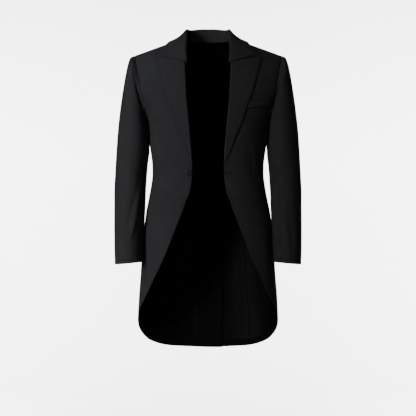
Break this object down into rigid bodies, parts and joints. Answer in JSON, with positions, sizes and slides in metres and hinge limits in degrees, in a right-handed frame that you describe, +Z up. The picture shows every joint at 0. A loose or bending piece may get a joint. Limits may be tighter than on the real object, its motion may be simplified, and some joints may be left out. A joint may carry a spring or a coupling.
{
  "type": "morning coat jacket",
  "caption": "Black wool cutaway morning coat with peak lapels, worn open and hollow, with a breast welt and a front button.",
  "frame": {"origin": "middle of the neck's base, between the two shoulder neck points, where a wearer's neck and shoulders hold the coat", "axes": "+Z up, the coat's front faces -Y, the wearer's left is +X"},
  "size_m": [0.5982, 0.2646, 1.0375],
  "materials": {
    "wool": "matte black wool barathea",
    "button": "polished black horn-like resin"
  },
  "bodies": {
    "root": {"front_left": "wool", "front_right": "wool", "side_body_left": "wool", "side_body_right": "wool", "back_left": "wool", "back_right": "wool", "skirt_left": "wool", "skirt_right": "wool", "top_sleeve_left": "wool", "top_sleeve_right": "wool", "under_sleeve_left": "wool", "under_sleeve_right": "wool", "lapel_left": "wool", "lapel_right": "wool", "collar": "wool", "breast_welt": "wool", "front_button": "button"}
  },
  "joints": []
}
